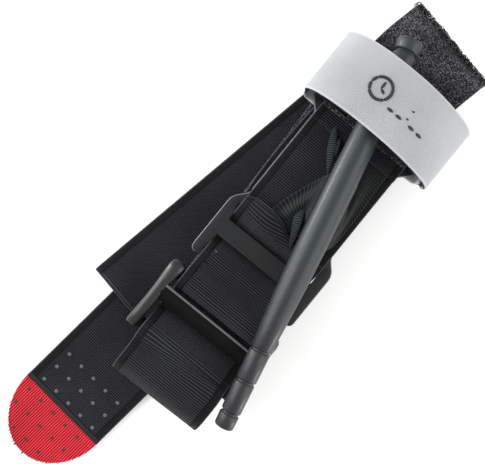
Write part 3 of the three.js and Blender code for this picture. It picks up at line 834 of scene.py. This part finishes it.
def make_pleat(name, points, width):
    """A pointed fold of the webbing, tilted up against the rod."""
    stations = []
    for at, along in smooth_curve(points, 0.7):
        side = along.cross(Vector((0, 0.55, 0.85))).normalized()
        stations.append(Station(at, side, along.cross(side)))
    last = len(stations) - 1
    share = {id(st): 0.06 + math.sin(math.pi * min(1, 0.15 + 0.85 * i / last)) ** 0.8
             for i, st in enumerate(stations)}
    pleat = ribbon(name, stations, width, (-0.22, 0.22), cloth_pleat_lit, "tension_webbing", columns=6,
                   narrow=lambda st: share[id(st)], lift=lambda st, w: 0.12 * w * w)
    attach(pleat, "band")
    return pleat


def make_flaps():
    for side, way in (("buckle", 1), ("clip", -1)):
        middle = [flap_point(i / 60, 0.5, way) for i in range(61)]
        length = sum((b - a).length for a, b in zip(middle, middle[1:]))
        flap = sheet_grid(f"tension_flap_{side}_cloth", lambda u, v: flap_point(u, v, way), 40, 60, 0.55,
                          (TENSION_WIDTH, length), cloth_tension, "tension_webbing",
                          [f"tension_band_flap_{side}_side"])
        folds = [make_pleat(f"tension_pleat_{side}_{n}", points, width)
                 for n, (points, width) in enumerate(PLEATS[side], 1)]
        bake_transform(flap)


def rod_profile():
    """(place, radius) from the grooved end to the cap, with rounded grooves and ends."""
    tail = -83
    points = [(tail, 0.01), (tail, 2.7), (tail + 0.15, 3.15), (tail + 0.6, 3.48)]
    for groove in (-77.3, -65.3, -53.4):
        radius = 3.5 + (groove - tail) * 0.012
        points += [(groove + x, radius - drop) for x, drop in
                   ((-0.85, 0), (-0.6, 0.12), (-0.4, 0.45), (0, 0.6), (0.4, 0.45), (0.6, 0.1), (0.85, -0.02))]
    body = [(-42, 4.4), (-34, 4.75), (-24, 5), (-12, 5.2), (12, 5.2), (26, 4.9), (40, 4.6), (53, 4.3),
            (59.5, 4.12)]
    for (x0, r0), (x1, r1) in zip(body, body[1:]):
        points += [(x0 + (x1 - x0) * t, r0 + (r1 - r0) * t) for t in (0, 0.25, 0.5, 0.75)]
    cap = [(59.7, 4.1), (60.05, 4.0), (60.2, 3.7), (60.4, 3.5), (60.9, 3.5), (61.1, 3.8), (61.3, 4.15),
           (61.7, 4.28), (64.2, 4.66), (64.9, 4.6), (65.35, 4.4), (65.55, 4.05), (65.6, 3.6), (65.6, 0.01)]
    return points + cap


def make_rod():
    rod = turned("windlass_rod_moulding", rod_profile(), 64, plastic_rod, "rod_plastic", ["windlass_rod"])
    cutter_data = bpy.data.meshes.new("slot_cutter")
    shape = bmesh.new()
    bmesh.ops.create_cube(shape, size=1)
    bmesh.ops.scale(shape, vec=(27 * MM, 18 * MM, 2 * MM), verts=shape.verts)
    shape.to_mesh(cutter_data)
    shape.free()
    cutter = linked("slot_cutter", cutter_data)
    cut = rod.modifiers.new("slot", "BOOLEAN")
    cut.operation, cut.object, cut.solver = "DIFFERENCE", cutter, "EXACT"
    bpy.context.view_layer.update()
    done = bpy.data.meshes.new_from_object(rod.evaluated_get(bpy.context.evaluated_depsgraph_get()))
    rod.modifiers.clear()
    rod.data = done
    bpy.data.objects.remove(cutter)
    rod.data.transform(Matrix.Translation(SLOT * MM) @ Matrix.Rotation(ROD_ANGLE, 4, "Z"))
    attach(rod, "windlass")

    stations = [Station(SLOT + ROD_ACROSS * y, -ROD_ALONG, (0, 0, 1)) for y in (-5.4, -2.7, 0, 2.7, 5.4)]
    laid("tension_band_slot_cloth", stations, TENSION_WIDTH, (-0.3, 0.3), cloth_tension, "tension_webbing",
         ["tension_band_in_slot"], ["windlass_rod_moulding"], "windlass", "stretched")


def tip_share(s):
    """The tip's width at s past the red edge, as a share of the band's width: half an ellipse."""
    return math.sqrt(max(0.0004, 1 - (s / RED_LENGTH) ** 2))


def make_tail():
    last = tail_route[-1]
    parts = [("tail_ribbon_cloth", BAND_WIDTH, RIBBON_PLY, cloth_black, "ribbed_ribbon", "tail_ribbon"),
             ("tail_tension_cloth", TENSION_WIDTH, TENSION_PLY, cloth_tension, "tension_webbing",
              "tail_tension_band"),
             ("tail_loop_cloth", BAND_WIDTH, TAPE_PLY, cloth_pile, "loop_tape", "tail_loop_tape")]
    for name, width, ply, material, slot, node in parts:
        piece = ribbon(name, tail_route, width, ply, material, slot, [node])
        declare(width, tail_route)
        bend_tail(piece)
    bend_tail(stitch_rows("tail_stitching", tail_route, RIBBON_PLY[0] - 0.03))

    out = last.along
    rows = 34
    stations = [Station(last.at + out * (RED_LENGTH * math.sin(math.pi / 2 * i / rows) + 0.05), last.side,
                        last.normal) for i in range(rows + 1)]
    start = stations[0].at
    tip = ribbon("red_tip_cloth", stations, BAND_WIDTH, (-0.98, 0.95), cloth_red, "red_tape",
                 ["red_tip_tape"], columns=20, narrow=lambda st: tip_share((st.at - start).length))
    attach(tip, "tail")

    def over_tail(past, w, height):
        return last.at + out * past + last.side * w + Vector((0, 0, height))

    hem = [Station(over_tail(past, 0, 0), last.side, last.normal) for past in (-1.8, -1.2, -0.6, 0.1)]
    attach(ribbon("tail_hem", hem, BAND_WIDTH, (-1.3, -1.0), cloth_hem, "ribbed_ribbon"), "tail")
    black = [over_tail(past, w, 1.08) for past in (-3.4, -10.2, -17) for w in DOT_COLUMNS]
    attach(dots("tail_weld_dots", black, 0.75, 0.2, weld_grey, "ribbed_ribbon"), "tail")
    columns = [w + RED_DOT_SHIFT for w in DOT_COLUMNS]
    red = [over_tail(past, w, 0.98) for past in (3.4, 10.6) for w in columns]
    red += [over_tail(18.1, w, 0.98) for w in columns[1:-1]]
    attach(dots("tip_weld_dots", red, 0.7, 0.2, weld_dark, "red_tape"), "tail")
    fibres = []
    for turn in np.linspace(-0.42 * math.pi, 0.42 * math.pi, 170):
        jitter = turn + random.uniform(-0.01, 0.01)
        root = over_tail(RED_LENGTH * math.cos(jitter) - 0.3, BAND_WIDTH / 2 * math.sin(jitter) * 0.985,
                         random.uniform(-0.7, 0.8))
        way = (out * math.cos(jitter) + last.side * math.sin(jitter) * 0.8).normalized()
        bend = last.side * random.uniform(-0.5, 0.5) + out * random.uniform(-0.3, 0.3)
        reach = random.uniform(0.7, 1.9) * (1 - 0.5 * abs(turn))
        fibres.append([root, root + way * reach * 0.5 + bend * 0.15, root + way * reach + bend * 0.5])
    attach(tubes("tip_cut_fibres", fibres, 0.16, thread_dark, "red_tape", sides=3), "tail")


def bend_tail(piece):
    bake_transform(piece)


def strap_route(points):
    x = sum(STRAP_X) / 2
    return [Station(at, (1, 0, 0), along.cross(Vector((1, 0, 0))))
            for at, along in smooth_curve([(x, y, z) for y, z in points], 0.8)]


def make_securing_strap():
    width = STRAP_X[1] - STRAP_X[0]
    y, z = STRAP_HINGE
    over = strap_route([(-28.3, 17.4), (-28.6, 21.5), (-26.3, 26.8), (-19.5, 32.2), (-8, 36.8), (3, 38),
                        (13, 37.2), (22, 33.4), (y + 0.2, 28), (y, z + 1.2), (y, z - 1.2), (y, 17.8),
                        (24.9, 15.1), (21.6, 14.45), (10, 14.45)])
    strap = ribbon("securing_strap_cloth", over, width, STRAP_PLY, cloth_grey, "grey_strap",
                   ["securing_strap"], columns=16)
    declare(width, over)
    # painted shade: the strap's inner face above 20 mm takes the dark pile, for the shade inside its arch
    strap.data.materials.append(cloth_pile)
    ring = 2 * len(across_places(width, 16))
    for i, face in enumerate(strap.data.polygons):
        if i % ring >= ring // 2 and over[min(i // ring, len(over) - 1)].at.z > 20:
            face.material_index = 1
    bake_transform(strap)

    base = strap_route([(-25.6, 21.6), (-25.6, 18.2), (-24.4, 15), (-21.6, 14.45), (0, 14.45), (10, 14.45)])
    inner = ribbon("securing_strap_base_cloth", base, width, STRAP_PLY, cloth_grey, "grey_strap",
                   ["securing_strap_base"], columns=10)
    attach(inner, "band")
    tab = [s for s in base if s.at.y < -24 and s.at.z > 16]
    patch = ribbon("strap_loop_patch_cloth", tab, width - 1, (0.65, 1.3), cloth_pile, "loop_tape",
                   ["strap_loop_patch"], columns=8)
    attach(patch, "band")
    declare(width, base)
    lined = [s for s in over if s.at.y < -6 and s.at.z > 16]
    laid("strap_hook_patch_cloth", lined, width - 1, (0.55, 1.35), cloth_pile, "loop_tape",
         ["strap_hook_patch"], ["securing_strap_cloth"], "strap_flap", "laid", columns=8)
    return over


def squared(reach):
    """Moves a circle's coordinate out towards the corners, for a section that is half square."""
    return math.copysign(abs(reach) ** 0.7, reach)


def rail_shell(way):
    """One of the buckle's two rails: rounded, and wider at its upper end. (x, low, high, inner, outer)."""
    rows = [(-75.1, 17.8, 19.8, 0.6, 3.2), (-74.8, 16.9, 20.9, -0.1, 4.0), (-73.6, 16.3, 21.6, -0.5, 4.3),
            (-70, 15.9, 22.3, -0.5, 4.2), (-64, 16.2, 23.0, -0.4, 4.1), (-59, 16.7, 23.4, -0.4, 4.1),
            (-55, 17.1, 23.6, -0.6, 4.3), (-51.5, 17.3, 23.8, -1.2, 4.5), (-49, 17.5, 23.7, -1.7, 4.6),
            (-47.2, 17.9, 23.2, -1.6, 4.3), (-46.2, 18.6, 22.4, -0.9, 3.7), (-45.8, 19.4, 21.6, 0.2, 2.6)]
    sides = 20
    vertices = []
    for x, low, high, inner, outer in rows:
        middle = Vector((x, BUCKLE_Y + way * (BUCKLE_INNER_HALF + (inner + outer) / 2), (low + high) / 2))
        for turn in turns(sides):
            across, up = squared(math.cos(way * turn)), squared(math.sin(way * turn))
            vertices.append(middle + Vector((0, across * (outer - inner) / 2, up * (high - low) / 2)))
    return vertices, ring_faces(len(rows), sides)


def circle(middle, radius):
    """The (x, z) points of a round bar's section."""
    x, z = middle
    return [(x + radius * math.cos(turn), z - radius * math.sin(turn)) for turn in turns(24)]


def bar_shell(section, low, high):
    """A section of (x, z) points extruded along Y."""
    vertices = [Vector((x, y, z)) for y in (low, high) for x, z in section]
    return vertices, ring_faces(2, len(section))


def make_buckle():
    low, high = BUCKLE_Y - BUCKLE_INNER_HALF - 1, BUCKLE_Y + BUCKLE_INNER_HALF + 1
    tooth = [(-62.5, 20.2), (-60.8, 20.8), (-60.8, 19.6), (-62.3, 19.7)]
    tooth_places = [BUCKLE_Y + 4 * n for n in range(-4, 5)]
    rails = [rail_shell(1), rail_shell(-1)]
    # painted highlight: a thin bright bar along the middle bar's upper edge
    edge = [bar_shell(circle((-55.75, 22.75), 0.45), low, high)]
    bars = [bar_shell([(-61.6, 21.2), (-61.2, 21.6), (-59, 23.0), (-58.5, 23.15), (-57.9, 23.1),
                       (-55.9, 22.8), (-55.5, 22.4), (-55.6, 20.9), (-56, 20.55), (-60.9, 19.1),
                       (-61.4, 19.2)], low, high),
            bar_shell(circle(UPPER_BAR, 1.9), low, high), bar_shell(circle(LOWER_BAR, 2), low, high),
            *(bar_shell(tooth, y - 0.9, y + 0.9) for y in tooth_places)]
    made = make_object("friction_buckle_moulding", *joined(rails + edge + bars), plastic_buckle,
                       slot="buckle_plastic", nodes=["friction_buckle"], sharp_angle=50)
    made.data.materials.append(plastic_rail)
    made.data.materials.append(plastic_highlight)
    kinds = [kind for kind, shells in ((1, rails), (2, edge), (0, bars))
             for _, faces in shells for _ in faces]
    for face, kind in zip(made.data.polygons, kinds):
        face.material_index = kind
    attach(made, "band")


def curls(name, count, place_at, reach, material):
    """Small loops of pile yarn. place_at() gives a root, an outward direction and one along the cloth."""
    lines = []
    for _ in range(count):
        root, out, way = place_at()
        size = random.uniform(*reach)
        lean = random.uniform(-0.5, 0.5)
        lines.append([root + way * (size * math.cos(t)) + out * (size * (1.3 * math.sin(t) - 0.2))
                      + way.cross(out) * (lean * size * math.sin(t)) for t in np.linspace(0, math.pi, 6)])
    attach(tubes(name, lines, 0.13, material, "loop_tape", sides=3, taper=1), "band")


def make_pile_curls(stations):
    """Curls that stand out along the upper fold's edge, and shorter ones on the face of the pile."""
    totals = lengths_along(stations)
    bend = totals[max(range(60), key=lambda i: stations[i].at.x)]

    def place(from_s, to_s):
        s, w = random.uniform(from_s, to_s), random.uniform(-18.7, 18.7)
        station = stations[min(range(60), key=lambda i: abs(totals[i] - s))]
        turn = random.uniform(0, math.pi)
        way = station.side * math.cos(turn) + station.along * math.sin(turn)
        return on_surface(stations, totals, s, w, TAPE_PLY[1] - 0.1, sag), station.normal, way

    for shade, material in (("dark", cloth_hem), ("light", thread_light)):
        curls(f"fold_curls_{shade}", 260, lambda: place(bend - 3, bend + 2), (0.9, 1.8), material)
        curls(f"pile_curls_{shade}", 420, lambda: place(bend - 30, bend - 3), (0.2, 0.4), material)


def make_strap_marks(stations):
    """A plain clock sign and an empty field for hours and minutes, drawn in low rounded strokes."""
    totals = lengths_along(stations)
    upper = [i for i, st in enumerate(stations) if st.at.z > 30]

    def on_strap(y, w):
        i = min(upper, key=lambda k: abs(stations[k].at.y - y))
        slant = max(0.3, -stations[i].normal.cross(stations[i].side).y)
        s = totals[i] + (y - stations[i].at.y) / slant
        return on_surface(stations, totals, s, w, STRAP_PLY[0] - 0.02)

    y, w = 6.2, 0.7
    ring = [on_strap(y + 3.9 * math.cos(t), w + 3.9 * math.sin(t)) for t in np.linspace(0, 2 * math.pi, 33)]
    hands = [[on_strap(y, w + t) for t in (0, 1.3, 2.6)], [on_strap(y - t, w - t * 0.5) for t in (0, 1, 1.9)]]
    blanks = [[on_strap(y - t, -3) for t in (0, 0.8, 1.6, 2.4)] for y in (0.6, -3, -8.6, -12.2)]
    colon = [[on_strap(-7.0, w - t) for t in (0, 0.3, 0.6)] for w in (1.9, -1.3)]
    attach(tubes("strap_time_signs", [ring, *hands, *blanks, *colon], 0.55, ink, "grey_strap", sides=8),
            "strap_flap")


make_camera()
make_stage()
make_cover()
tape_stations = make_folded_band()
make_flaps()
make_rod()
make_tail()
make_strap_marks(make_securing_strap())
refined("stabilizer_plate", 0.35)
refined("windlass_clip", 0.3)
make_buckle()
make_pile_curls(tape_stations)
